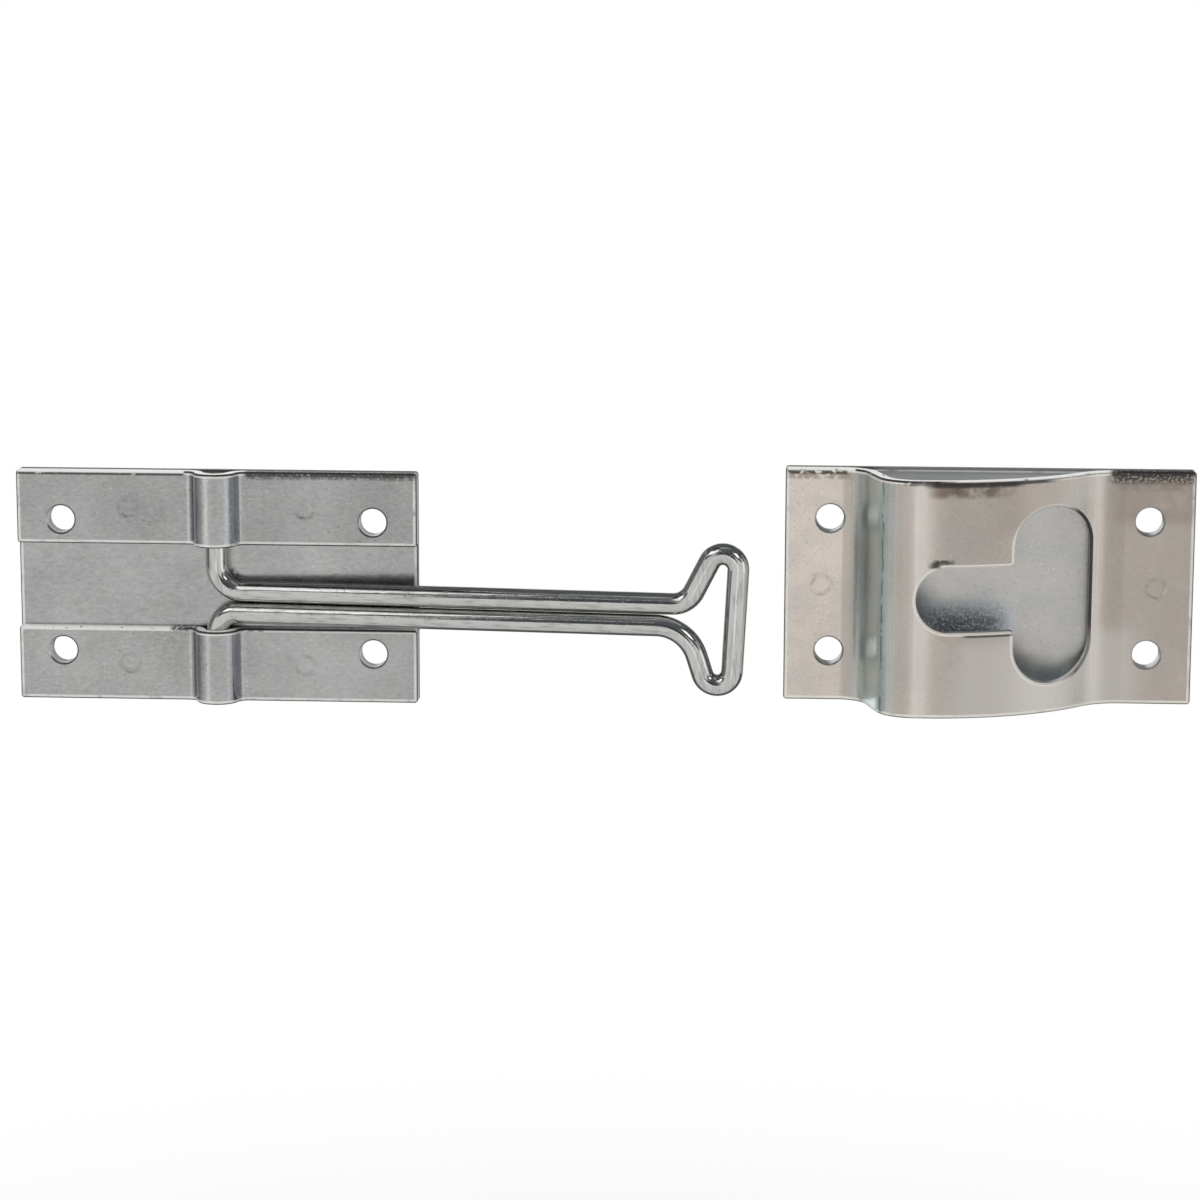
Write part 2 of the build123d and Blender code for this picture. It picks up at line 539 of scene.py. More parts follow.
@dataclass(frozen=True)
class TSlot:
    """Outline of the keeper's T slot, in millimetres from the piece's left end and its middle.

    Attributes:
        entry: Middle of the tall slot.
        entry_half: Half its width.
        entry_rise: Half the length of its straight sides.
        throat: Middle of the narrow slot's round end.
        throat_half: Half its height.
        bright_band: The rolled edge where a painted highlight shines, outwards from the slot.
        bright_end: Where the painted highlight stops.
        dark_band: The rolled edge where painted shadow makes it black, outwards from the slot.
        dark_start: Where the painted shadow starts.
    """

    entry: float = 49.4
    entry_half: float = 7.25
    entry_rise: float = 9.25
    throat: float = 30.1
    throat_half: float = 6.05
    bright_band: Band = (-0.1, 0.55, 0.2)
    bright_end: Span = (50.5, 53.5)
    dark_band: Band = (-0.2, 0.60, 0.15)
    dark_start: Span = (52.5, 54.5)

    def clear(self, spot: SheetMap) -> Term:
        """Distance outside the slot.

        Args:
            spot: Map of the piece.

        Returns:
            The distance, which is below 0 inside the slot.
        """
        past = (abs(spot.level) - self.entry_rise).most(0.0)
        tall = (spot.across - self.entry).hypot(past) - self.entry_half
        short = (spot.across - self.throat).least(0.0).hypot(spot.level) - self.throat_half
        return tall.least(short.most(spot.across - self.entry))

    def bright_rim(self, spot: SheetMap) -> Term:
        """The rolled edge where a painted highlight shines, from 0 to 1."""
        return self.clear(spot).within(*self.bright_band) * (1 - spot.across.rise(*self.bright_end))

    def dark_rim(self, spot: SheetMap) -> Term:
        """The rolled edge where painted shadow makes it black, from 0 to 1."""
        return self.clear(spot).within(*self.dark_band) * spot.across.rise(*self.dark_start)


@dataclass(frozen=True)
class LowLight:
    """Light that other metal throws on the keeper's back plate, low in its slots, in millimetres.

    Attributes:
        tint: Colour that it gives.
        throat: Levels from the middle between which it ends in the narrow slot.
        throat_end: Distances from the left end between which the narrow slot's light ends.
        foot: Levels between which it ends in the tall slot.
    """

    tint: Colour
    throat: Span = (-7.0, -0.5)
    throat_end: Span = (40.0, 45.0)
    foot: Span = (-18.0, -13.5)

    def mask(self, spot: SheetMap) -> Term:
        """Where it falls, from 0 to 1."""
        narrow = (1 - spot.level.rise(*self.throat)) * (1 - spot.across.rise(*self.throat_end))
        return narrow.most(1 - spot.level.rise(*self.foot)) * spot.ahead


@dataclass(frozen=True)
class ZincSheet:
    """Satin zinc plate on pressed sheet.

    Attributes:
        colour: Main colour of the zinc.
        cast: Colour that it drifts to in patches.
        bend_painted_tone: Colour on the steep sides of a bend, painted for how light falls there: darker as
            painted shade on the hook half and the keeper's back plate, lighter and greener as painted light
            on the keeper's strap.
        right_painted_tone: Colour on the steep sides that face right, where it is another one: painted
            light on the keeper's ramp.
        low_light: Light low in the keeper's slots.
        edge: Colour of the sheared upper and lower edges: white as a painted highlight on the straps, near
            black as painted reflection of dark surroundings on the back plates.
        side: Colour of the sheared ends, darker than the upper and lower edges as painted shade.
        edge_metal: How metallic they are.
        rim: Colour of the painted highlight along the front edges.
        painted_shade: Colour of the painted shade along the outline, under the upper edge and at the slot's
            right edge.
        brow: How much the painted shade darkens the front along the upper edge.
        shaded_wall: Colour inside the holes and slots, painted shade on the walls that do not face up and
            left.
        lit_wall: Colour of the walls in them that face up and left, painted light.
        roughness: Gloss of the flat faces.
        edge_roughness: Gloss of the sheared edges.
        burnish: How much glossier the bends are, where the tool burnished them.
        mottle: How much the tone drifts.
        pits: How much the small dark and light spots show.
        relief: Depth of the relief, in millimetres.
    """

    colour: Colour
    cast: Colour
    bend_painted_tone: Colour
    right_painted_tone: Colour | None = None
    low_light: LowLight | None = None
    # Painted highlight on white edges, painted shade on the ends and on hole walls, painted light on walls
    # that face up and left.
    edge: Colour = (0.95, 0.95, 0.93)
    side: Colour = (0.22, 0.22, 0.22)
    edge_metal: float = 0.0
    rim: Colour = (0.80, 0.79, 0.76)
    painted_shade: Colour = (0.025, 0.023, 0.022)
    brow: float = 0.0
    shaded_wall: Colour = (0.10, 0.10, 0.10)
    lit_wall: Colour = (0.9, 0.9, 0.88)
    roughness: float = 0.30
    edge_roughness: float = 0.42
    burnish: float = 0.0
    mottle: float = 0.22
    pits: float = 0.16
    relief: float = 0.006

    # Noises of the plating and of its edges.
    drift_pattern = Pattern(13.0, 3.0, seed=2.0)
    cloud_pattern = Pattern(4.5, 4.0, seed=11.0, levels=(0.38, 0.66))
    grain_pattern = Pattern(0.55, 3.0, drawn=Axis.X, length=2.2)
    pit_pattern = Pattern(0.36, 1.0, seed=5.0, levels=(0.66, 0.76))
    glint_pattern = Pattern(0.45, 1.0, seed=31.0, levels=(0.67, 0.77))
    shear_pattern = Pattern(0.25, seed=7.0, drawn=Axis.Y, length=8.0)
    edge_sheen_pattern = Pattern(2.5, 3.0, levels=(0.2, 0.5))
    brow_pattern = Pattern(0.9, 3.0, seed=17.0, levels=(0.30, 0.42))

    # Distances from the outline and from the upper edge, in millimetres.
    outline_shade_band = (0.12, 0.26)
    edge_sheen_band = (0.22, 0.70, 0.14)
    brow_edge = (0.28, 0.44)
    hole_inset = (0.4, 0.6)

    # Shares of the normal between which a side counts as one or the other.
    right_to_left = (-0.1, 0.1)
    edge_to_end = (0.5, 0.9)
    dark_to_lit = (0.9, 1.3)

    # How much of the zinc the painted highlight and the painted shade along the edges cover, and what any
    # cover does to its gloss.
    edge_cover = 0.85
    rim_cover = 0.8
    cover_matt = 0.8
    cover_dull = 0.15

    # How much each noise shows in the relief, in the gloss and in the tone.
    grain_height = 0.5
    cloud_height = 0.8
    pit_depth = 0.9
    cloud_dull = 0.12
    grain_dull = 0.08
    shear_dark = 0.75
    shear_tone = 0.5

    def dress(
        self, node: Node, dirt_and_light_patches: Sequence[DirtAndLightPatch] = (), welds: Sequence[Weld] = (),
        creases: Sequence[Crease] = (), slot: TSlot | None = None,
    ) -> None:
        """Give a solid this finish.

        Args:
            node: The piece to dress.
            dirt_and_light_patches: Its dirt, and its painted light and shade, each over the ones before it.
            welds: Its weld marks.
            creases: Its tool lines.
            slot: Its T slot.
        """
        material = new_material(node.value + "_zinc")
        graph = Graph(material.node_tree)
        spot = SheetMap(graph, node)
        cloud = spot.noise(self.cloud_pattern)
        grain = spot.noise(self.grain_pattern)
        pit = spot.spots(self.pit_pattern)
        shear = spot.noise(self.shear_pattern)

        face = self.face_colour(spot, cloud, grain, pit)
        colour = graph.blend(face, self.cut_colour(spot, shear), spot.sheared)
        metal = 1 - spot.sheared * (1 - self.edge_metal)
        dull = spot.sheared * (self.edge_roughness - self.roughness) - spot.bent * self.burnish
        height = grain * self.grain_height + cloud * self.cloud_height - pit * self.pit_depth
        height = height + shear * spot.sheared

        layers = self.edge_layers(spot, slot)
        layers += [(dirt_and_light_patch.tint, dirt_and_light_patch.mask(spot)) for dirt_and_light_patch in dirt_and_light_patches]
        for tint, cover in layers:
            colour = graph.blend(colour, tint, cover)
            metal = metal * (1 - cover * self.cover_matt)
            dull = dull + cover * self.cover_dull

        for pressed in (*welds, *creases):
            mark = pressed.mask(spot)
            dark = graph.toned(self.colour, pressed.dent.tone)
            colour = graph.blend(colour, dark, mark * pressed.dent.share)
            height = height - mark * pressed.dent.depth
        normal = graph.normal()
        for weld in welds:
            normal = graph.mix(MixKind.VECTOR, normal, FRONT, weld.levelled(spot))

        dull = dull + (cloud - MID_NOISE) * self.cloud_dull + (grain - MID_NOISE) * self.grain_dull
        finish(node, material, graph, {
            "Base Color": colour, "Metallic": metal, "Roughness": self.roughness + dull,
            "Normal": graph.bump(height, self.relief, normal),
        })

    def edge_layers(self, spot: SheetMap, slot: TSlot | None) -> list[tuple[Colour, Term]]:
        """Painted highlights and painted shade along the edges of the sheet's faces.

        Args:
            spot: Map of the piece.
            slot: Its T slot.

        Returns:
            The colour and the cover of each, from the lowest layer up.
        """
        face = 1 - spot.sheared
        # Painted shade along the front just under the upper edge.
        brow = face * (1 - spot.down.rise(*self.brow_edge))
        # Painted highlight: a pale band of spots just inside the outline.
        edge_sheen = face * spot.inset.within(*self.edge_sheen_band) * (1 - brow) * spot.spots(self.edge_sheen_pattern)
        # Painted shade: a dark line along the outline.
        outline_shade = face * (1 - spot.inset.rise(*self.outline_shade_band))
        layers = [
            (self.rim, edge_sheen * self.edge_cover),
            (self.painted_shade, outline_shade * self.edge_cover),
            (self.painted_shade, brow * self.brow * spot.spots(self.brow_pattern)),
        ]
        if slot:
            # Painted highlight on the slot's rolled edge, and painted shadow along its right edge.
            layers.append((self.rim, face * slot.bright_rim(spot) * self.rim_cover))
            layers.append((self.painted_shade, face * slot.dark_rim(spot)))
        return layers

    def face_colour(
        self, spot: SheetMap, cloud: Term, grain: Term, pit: Term
    ) -> bpy.types.NodeSocket:
        """Colour of the sheet's faces, with its drift and pits, the painted light low in the keeper's
        slots, and painted light and shade on the steep sides of its bends.

        Args:
            spot: Map of the piece.
            cloud: Noise of its patches.
            grain: Noise of its rolling grain.
            pit: Mask of its pits.

        Returns:
            The colour.
        """
        graph = spot.graph
        noises = (spot.noise(self.drift_pattern), cloud, grain)
        drift = sum(noises, start=-MID_NOISE * len(noises))
        glint = spot.spots(self.glint_pattern)
        tone = 1 + drift * self.mottle - pit * self.pits + glint * self.pits
        flat = graph.blend(self.colour, self.cast, cloud.rise(*self.cloud_pattern.levels))
        if self.low_light:
            flat = graph.blend(flat, self.low_light.tint, self.low_light.mask(spot))
        # Painted light and shade on the steep sides of bends, by the way they face.
        right_painted_tone = self.right_painted_tone or self.bend_painted_tone
        bend = graph.blend(right_painted_tone, self.bend_painted_tone, spot.left.rise(*self.right_to_left))
        return graph.toned(graph.blend(flat, bend, spot.bent), tone)

    def cut_colour(self, spot: SheetMap, shear: Term) -> bpy.types.NodeSocket:
        """Colour of the outer edges and of the walls in holes and slots, with painted highlight, light and
        shade by the way they face.

        Args:
            spot: Map of the piece.
            shear: Noise of the torn edge.

        Returns:
            The colour.
        """
        graph = spot.graph
        # Hole walls lit or shaded by the way they face, and the ends darker than the upper and lower edges:
        # painted light and shade.
        lit = (spot.up + spot.left).rise(*self.dark_to_lit)
        wall = graph.blend(self.shaded_wall, self.lit_wall, lit)
        outer = graph.blend(self.edge, self.side, abs(spot.left).rise(*self.edge_to_end))
        cut = graph.blend(outer, wall, spot.inset.rise(*self.hole_inset))
        return graph.toned(cut, self.shear_dark + shear * self.shear_tone)


class Blemish(NamedTuple):
    """How much a blemish on the wire shows in its colour, and in its gloss."""

    tint: float
    dull: float


@dataclass(frozen=True)
class BrightWire:
    """Bright zinc plate on drawn wire.

    Attributes:
        colour: Colour of the zinc.
        tarnish: Colour of its duller streaks.
        roughness: Gloss of the clean wire.
        ripple: Depth of the waves that the drawing and bending leave, in millimetres.
        streak: How the drawing lines show.
        stain: How the duller patches show.
        pit: How the small pits show.
    """

    colour: Colour = (0.505, 0.505, 0.490)
    tarnish: Colour = (0.30, 0.285, 0.265)
    roughness: float = 0.07
    ripple: float = 0.018
    streak: Blemish = Blemish(tint=0.65, dull=0.07)
    stain: Blemish = Blemish(tint=0.25, dull=0.08)
    pit: Blemish = Blemish(tint=0.4, dull=0.2)

    # Noises of the wire.
    leg_pattern = Pattern(0.55, 3.0, drawn=Axis.X, length=9.0)
    upright_pattern = Pattern(0.55, 3.0, seed=4.0, drawn=Axis.Z, length=9.0)
    wave_pattern = Pattern(2.2, seed=9.0, drawn=Axis.X, length=1.8)
    pit_pattern = Pattern(0.45, 1.0, seed=15.0, levels=(0.67, 0.76))
    stain_pattern = Pattern(5.0, 3.0, seed=21.0, levels=(0.50, 0.72))
    streak_levels = (0.48, 0.72)

    # Length over which the lines turn, and how much each noise shows in the relief.
    turn_length = 3.0
    line_height = 0.5
    pit_depth = 0.3

    def dress(self, node: Node, throat: float, pin: float) -> None:
        """Give the wire this finish, with its drawing lines along the wire.

        Args:
            node: The wire.
            throat: Place along X where the legs part, in millimetres.
            pin: Place along X where the legs start, in millimetres.
        """
        material = new_material(node.value + "_zinc")
        graph = Graph(material.node_tree)
        point = graph.point()
        x, _, _ = graph.parts(point)
        legs = x.within(pin, throat, self.turn_length)
        along = graph.noise(point, self.leg_pattern)
        upright = graph.noise(point, self.upright_pattern)
        lines = upright + legs * (along - upright)
        wave = graph.noise(point, self.wave_pattern)
        streak = lines.rise(*self.streak_levels)
        stain = graph.spots(point, self.stain_pattern)
        pit = graph.spots(point, self.pit_pattern)

        tarnish = streak * self.streak.tint + stain * self.stain.tint + pit * self.pit.tint
        dull = streak * self.streak.dull + stain * self.stain.dull + pit * self.pit.dull
        height = lines * self.line_height + wave - pit * self.pit_depth
        finish(node, material, graph, {
            "Base Color": graph.blend(self.colour, self.tarnish, tarnish),
            "Metallic": 1.0, "Roughness": self.roughness + dull,
            "Normal": graph.bump(height, self.ripple, graph.normal()),
        })


def new_material(name: str) -> bpy.types.Material:
    """Make a node material.

    Args:
        name: Name of the material.

    Returns:
        The material.
    """
    material = bpy.data.materials.new(name)
    material.use_nodes = True
    return material


def finish(
    node: Node, material: bpy.types.Material, graph: Graph, surface: dict[str | int, Feed]
) -> None:
    """Close a metal's graph with its shader and give the material to a solid.

    Args:
        node: The solid that gets it.
        material: The material.
        graph: Its node graph.
        surface: Values and links of the shader's sockets.
    """
    graph.close("ShaderNodeOutputMaterial", graph.node("ShaderNodeBsdfPrincipled", {}, surface))
    for slot in node.piece.material_slots:
        slot.material = material
    LOG.info("%s: %s", node.value, material.name)


@dataclass
class HookHalf:
    """The hook plate with its two straps, and the wire hook, in millimetres.

    Attributes:
        strap: Finish of both straps.
        back: Finish of the back plate.
        wire: Finish of the wire.
        weld_x: Distance of the welds from the plate's middle.
        weld_down: Distance of the welds below a strap's upper edge.
        knuckle_half: Half the width of a knuckle's foot.
        throat: Place along X where the wire's legs part.
        pin: Place along X where they start.
        edge_highlight: Colour of the painted highlight along the upper strap's upper edge.
        dull_edge_highlight: Colour of the painted highlight on the lower strap.
        lower_right_light: Colour of the painted light on the lower strap's right.
    """

    strap: ZincSheet = ZincSheet(
        # The bluish dark bend colour is painted shade on the knuckles' sides.
        colour=(0.412, 0.409, 0.396), cast=(0.362, 0.363, 0.367), bend_painted_tone=(0.30, 0.31, 0.34),
        # Colour in the holes: painted shade on their walls.
        shaded_wall=(0.34, 0.34, 0.335), brow=0.8, burnish=0.14, mottle=0.56, pits=0.34,
    )
    back: ZincSheet = ZincSheet(
        # The bluish dark bend colour is painted shade.
        colour=(0.420, 0.418, 0.407), cast=(0.366, 0.366, 0.373), bend_painted_tone=(0.30, 0.31, 0.34),
        # Colour in the holes: painted shade; near black edges: painted reflection of dark surroundings.
        shaded_wall=(0.34, 0.34, 0.335), edge=(0.05, 0.05, 0.05), edge_metal=0.8, brow=0.9,
        roughness=0.22, mottle=0.50, pits=0.24,
    )
    wire: BrightWire = BrightWire()
    weld_x: float = 16.8
    weld_down: float = 7.0
    knuckle_half: float = 6.0
    throat: float = 88.0
    pin: float = 3.0
    edge_highlight: Colour = (0.97, 0.97, 0.95)
    dull_edge_highlight: Colour = (0.88, 0.88, 0.86)
    lower_right_light: Colour = (0.72, 0.72, 0.71)

    sheets = (Node.HOOK_BACK, Node.UPPER_STRAP, Node.LOWER_STRAP)

    def upper_dirt_and_painted_light(self, middle: float, end: float) -> list[DirtAndLightPatch]:
        """Painted highlight on the left of the upper edge with a black line of painted shade under it, and
        burnt plating on the right.

        Args:
            middle: Place of the knuckle along the strap.
            end: Length of the strap.

        Returns:
            The painted highlight, the painted shade and the burnt plating.
        """
        foot = middle - self.knuckle_half
        return [
            # Painted highlight along the upper edge.
            DirtAndLightPatch(
                left=0.2, right=foot, top=-0.5, bottom=0.38, soft=0.4, grain=2.5, spread=(0.20, 0.32),
                tint=self.edge_highlight,
            ),
            # Painted shade: a black line under that highlight.
            DirtAndLightPatch(left=0.2, right=foot, top=0.42, bottom=0.85, grain=2.0, spread=(0.28, 0.40)),
            DirtAndLightPatch(
                left=middle + 5.5, right=end - 0.2, top=-0.4, bottom=0.85, grain=0.4,
                spread=(0.30, 0.42),
            ),
            DirtAndLightPatch(left=middle + self.knuckle_half, right=end - 0.2, top=0.4, bottom=1.4, share=0.6),
        ]

    def lower_dirt_and_painted_light(self, middle: float, end: float) -> list[DirtAndLightPatch]:
        """Painted highlight and dark marks beside the knuckle along the lower strap's upper edge, and
        painted light on its right.

        Args:
            middle: Place of the knuckle along the strap.
            end: Length of the strap.

        Returns:
            The painted highlight, the marks and the painted light.
        """
        return [
            # Painted highlight along the upper edge.
            DirtAndLightPatch(
                left=0.3, right=middle - 6.5, top=-0.4, bottom=0.5, grain=0.8, spread=(0.28, 0.42),
                tint=self.dull_edge_highlight,
            ),
            DirtAndLightPatch(left=middle - 9.0, right=middle - 4.0, top=-0.4, bottom=0.6),
            DirtAndLightPatch(left=middle + 4.0, right=middle + 9.0, top=-0.4, bottom=0.6, share=0.7),
            # Painted light: the lower strap lighter on its right.
            DirtAndLightPatch(
                left=middle + 8.0, right=end - 1.0, top=0.8, bottom=13.5, soft=5.0, grain=6.0,
                spread=(0.2, 0.4), share=0.14, tint=self.lower_right_light,
            ),
        ]

    def dress(self) -> None:
        """Give each of its solids its finish."""
        middle = -Node.UPPER_STRAP.box[0].x
        end = 2 * middle
        welds = [Weld(middle + side * self.weld_x, self.weld_down) for side in (-1, 1)]
        self.back.dress(Node.HOOK_BACK)
        self.strap.dress(Node.UPPER_STRAP, dirt_and_light_patches=self.upper_dirt_and_painted_light(middle, end), welds=welds)
        self.strap.dress(Node.LOWER_STRAP, dirt_and_light_patches=self.lower_dirt_and_painted_light(middle, end), welds=welds)
        self.wire.dress(Node.WIRE_HOOK, self.throat, self.pin)


@dataclass
class KeeperHalf:
    """The keeper: back plate and bulged strap, in millimetres.

    Attributes:
        strap: Finish of the strap.
        back: Finish of the back plate.
        weld_inset: Distance of the welds from the strap's ends.
        crease: Tool line on the strap.
        slot: The strap's T slot.
        brown: Colour of the stains.
        highlight_tint: Colour of the painted highlights on the bulge.
        edge_highlight: Colour of the painted highlight along the upper edge.
        hollow_light: Light on the back plate above the bulge.
        specks: Light specks on the back plate in the narrow slot.
    """

    strap: ZincSheet = ZincSheet(
        # The pale green bend colour is painted light on the bulge's wall, and the pale right colour is
        # painted light on its ramp.
        colour=(0.398, 0.358, 0.322), cast=(0.372, 0.342, 0.314), bend_painted_tone=(0.81, 0.91, 0.87),
        # The pale rim is a painted highlight along the front edges.
        right_painted_tone=(0.86, 0.83, 0.78), rim=(0.84, 0.80, 0.74), brow=1.0, roughness=0.27,
        burnish=-0.07,
    )
    back: ZincSheet = ZincSheet(
        # The darker bend colour is painted shade.
        colour=(0.378, 0.368, 0.348), cast=(0.355, 0.350, 0.338), bend_painted_tone=(0.33, 0.35, 0.35),
        # Near black edges: painted reflection of dark surroundings.
        low_light=LowLight((0.53, 0.575, 0.605)), edge=(0.04, 0.04, 0.045), edge_metal=0.8, brow=1.0,
        pits=0.30,
    )
    weld_inset: float = 6.9
    crease: Crease = Crease(18.0)
    slot: TSlot = TSlot()
    brown: Colour = (0.16, 0.115, 0.085)
    highlight_tint: Colour = (0.70, 0.68, 0.65)
    edge_highlight: Colour = (0.97, 0.96, 0.93)
    hollow_light: DirtAndLightPatch = DirtAndLightPatch(
        left=17.0, right=62.0, top=0.5, bottom=5.0, soft=5.0, grain=8.0, spread=(0.2, 0.3), share=0.7,
        tint=(0.78, 0.82, 0.86),
    )
    specks: DirtAndLightPatch = DirtAndLightPatch(
        left=26.0, right=42.0, top=25.5, bottom=36.0, soft=3.0, grain=0.45, spread=(0.48, 0.60),
        share=0.42, tint=(0.72, 0.79, 0.86),
    )

    nodes = (Node.KEEPER_BACK, Node.KEEPER_STRAP)

    def veils(self) -> list[DirtAndLightPatch]:
        """Faint brown on the right flange and at the top of the ramp.

        Returns:
            The stains.
        """
        flange = DirtAndLightPatch(
            left=61.0, right=78.0, top=0.0, bottom=9.5, soft=6.0, grain=6.0, spread=(0.2, 0.5),
            share=0.34, tint=self.brown,
        )
        ramp = DirtAndLightPatch(
            left=40.0, right=52.0, top=-4.0, bottom=10.0, soft=9.0, grain=9.0, spread=(0.2, 0.4),
            share=0.30, tint=self.brown,
        )
        return [flange, replace(flange, top=8.0, bottom=46.0, share=0.12), ramp]

    def edge_highlights(self) -> list[DirtAndLightPatch]:
        """Painted highlight along the upper edge of the left flange and of the bulge.

        Returns:
            The painted highlights.
        """
        return [
            DirtAndLightPatch(
                left=0.3, right=13.0, top=-0.5, bottom=0.40, soft=0.4, grain=1.6, spread=(0.34, 0.46),
                tint=self.edge_highlight,
            ),
            DirtAndLightPatch(
                left=30.0, right=62.0, top=-0.5, bottom=0.24, soft=5.0, grain=3.0, spread=(0.24, 0.40),
                tint=self.edge_highlight,
            ),
        ]

    def edge_shade_and_stains(self) -> list[DirtAndLightPatch]:
        """Black lines and marks and brown stains along the upper edge, from left to right; the black lines
        just under the painted highlight are painted shade.

        Returns:
            The painted shade, the marks and the stains.
        """
        return [
            # Painted shade under the left flange's painted highlight.
            DirtAndLightPatch(left=0.3, right=11.5, top=0.4, bottom=1.1, soft=0.8, grain=1.2, spread=(0.34, 0.46)),
            DirtAndLightPatch(
                left=0.5, right=12.5, top=0.8, bottom=2.0, soft=2.0, grain=0.9, share=0.4,
                tint=self.brown,
            ),
            DirtAndLightPatch(left=27.0, right=41.0, top=0.6, bottom=3.0, soft=4.0, grain=3.5, tint=self.brown),
            DirtAndLightPatch(left=30.5, right=37.0, top=0.8, bottom=2.3, soft=3.0, grain=4.0, share=0.5),
            # Painted shade under the bulge's painted highlight.
            DirtAndLightPatch(left=21.0, right=49.0, top=0.26, bottom=0.85, soft=4.0, grain=3.0, spread=(0.26, 0.40)),
            DirtAndLightPatch(left=26.0, right=43.0, top=0.26, bottom=1.2, soft=3.0, grain=2.5, spread=(0.26, 0.40)),
            DirtAndLightPatch(left=60.5, right=75.9, top=-0.4, bottom=0.9, soft=0.8, spread=(0.30, 0.42)),
            DirtAndLightPatch(left=60.5, right=75.9, top=-1.0, bottom=2.2, soft=3.0, grain=0.45, spread=(0.40, 0.52)),
            DirtAndLightPatch(
                left=62.0, right=75.0, top=1.6, bottom=3.6, soft=3.0, grain=2.0, share=0.3,
                tint=self.brown,
            ),
        ]

    def slot_dirt(self) -> list[DirtAndLightPatch]:
        """Black smear at the narrow slot's round end, and a thin line under that slot.

        Returns:
            The marks.
        """
        return [
            DirtAndLightPatch(left=26.5, right=28.4, top=14.9, bottom=16.0, soft=1.2, grain=1.2, spread=(0.26, 0.46)),
            DirtAndLightPatch(left=27.4, right=30.8, top=14.5, bottom=15.3, soft=1.6, grain=1.4, spread=(0.30, 0.50)),
            DirtAndLightPatch(left=33.0, right=42.0, top=28.5, bottom=28.95, soft=2.0, grain=1.6, spread=(0.22, 0.36)),
        ]

    def bulge_highlights(self) -> list[DirtAndLightPatch]:
        """Painted highlight on the bulge's crest, and painted light on the low part of its ramp.

        Returns:
            The painted highlights.
        """
        return [
            # Painted highlight along the crest.
            DirtAndLightPatch(
                left=23.3, right=26.3, top=0.5, bottom=46.0, soft=2.8, grain=7.0, spread=(0.2, 0.3),
                share=0.32, tint=self.highlight_tint,
            ),
            # Painted light on the low part of the ramp.
            DirtAndLightPatch(
                left=30.0, right=66.0, top=30.0, bottom=46.0, soft=9.0, grain=9.0, spread=(0.2, 0.4),
                share=0.3, tint=self.highlight_tint,
            ),
        ]

    def dress(self) -> None:
        """Give each of its solids its finish."""
        low, high = Node.KEEPER_STRAP.box
        width = high.x - low.x
        middle = (high.z - low.z) / 2
        welds = [Weld(self.weld_inset, middle), Weld(width - self.weld_inset, middle)]
        dirt_and_light_patches = [
            *self.veils(), *self.edge_highlights(), *self.edge_shade_and_stains(), *self.slot_dirt(), *self.bulge_highlights()
        ]
        self.back.dress(Node.KEEPER_BACK, dirt_and_light_patches=[self.hollow_light, self.specks])
        self.strap.dress(
            Node.KEEPER_STRAP, dirt_and_light_patches=dirt_and_light_patches, welds=welds, creases=[self.crease], slot=self.slot
        )


@dataclass(frozen=True)
class Softbox:
    """An area lamp that faces the part.

    Attributes:
        name: Name of the lamp.
        place: Where it stands, in metres.
        size: Its width and height, in metres.
        glow: Its brightness, where 1 is white.
        lights: The solids that it lights, or all where there are none.
    """

    name: str
    place: Place
    size: Sides
    glow: float
    lights: tuple[Node, ...] = ()

    def build(self, target: Vector) -> None:
        """Set the lamp up.

        Args:
            target: The point that it faces.
        """
        lamp = bpy.data.lights.new(self.name, "AREA")
        lamp.shape = "RECTANGLE"
        lamp.size, lamp.size_y = self.size
        lamp.energy = self.glow * math.pi * self.size[0] * self.size[1]
        stand = bpy.data.objects.new(self.name, lamp)
        stand.location = self.place
        stand.rotation_euler = (Vector(self.place) - target).to_track_quat("Z", "Y").to_euler()
        bpy.context.scene.collection.objects.link(stand)
        if self.lights:
            lit = bpy.data.collections.new(self.name + "_lit")
            for node in self.lights:
                lit.objects.link(node.piece)
            stand.light_linking.receiver_collection = lit
        LOG.info("%s lamp", self.name)


@dataclass(frozen=True)
class Flag:
    """A dark card that only reflections show, with soft sides.

    Attributes:
        name: Name of the card.
        place: Its middle, in metres.
        size: Its width and height, in metres.
        turn: Turns about X and Z from lying level, in degrees.
        fade: Share of each half side over which it fades to white.
        tint: Its colour.
    """

    name: str
    place: Place
    size: Sides
    turn: tuple[float, float] = (0.0, 0.0)
    fade: float = 0.2
    tint: Colour = (0.15, 0.16, 0.17)

    def build(self) -> None:
        """Set the card up."""
        card = stage_sheet(self.name, self.size, self.place, self.turn)
        material = new_material(self.name)
        graph = Graph(material.node_tree)
        x, y, _ = graph.parts(graph.place())
        reach = (abs(x) * (2 / self.size[0])).most(abs(y) * (2 / self.size[1]))
        tint = graph.blend(self.tint, WHITE, reach.rise(1 - self.fade, 1.0))
        glow = graph.node("ShaderNodeEmission", {}, {"Color": tint, "Strength": 1.0})
        graph.close("ShaderNodeOutputMaterial", glow)
        material.cycles.emission_sampling = "NONE"
        card.data.materials.append(material)
        card.visible_camera = False
        card.visible_diffuse = False
        card.visible_shadow = False


def stage_sheet(
    name: str, size: Sides, place: Place, turn: tuple[float, float] = (0.0, 0.0)
) -> bpy.types.Object:
    """Add a flat sheet to the stage.

    Args:
        name: Name of the sheet.
        size: Its two sides, in metres.
        place: Its middle, in metres.
        turn: Turns about X and Z from lying level, in degrees.

    Returns:
        The sheet.
    """
    bpy.ops.object.select_all(action="DESELECT")
    tilt, swing = (math.radians(angle) for angle in turn)
    bpy.ops.mesh.primitive_plane_add(size=1.0, location=place, rotation=(tilt, 0.0, swing))
    sheet = bpy.context.active_object
    sheet.name = name
    sheet.scale = (*size, 1.0)
    bpy.ops.object.transform_apply(location=False, rotation=False, scale=True)
    LOG.info("%s", name)
    return sheet


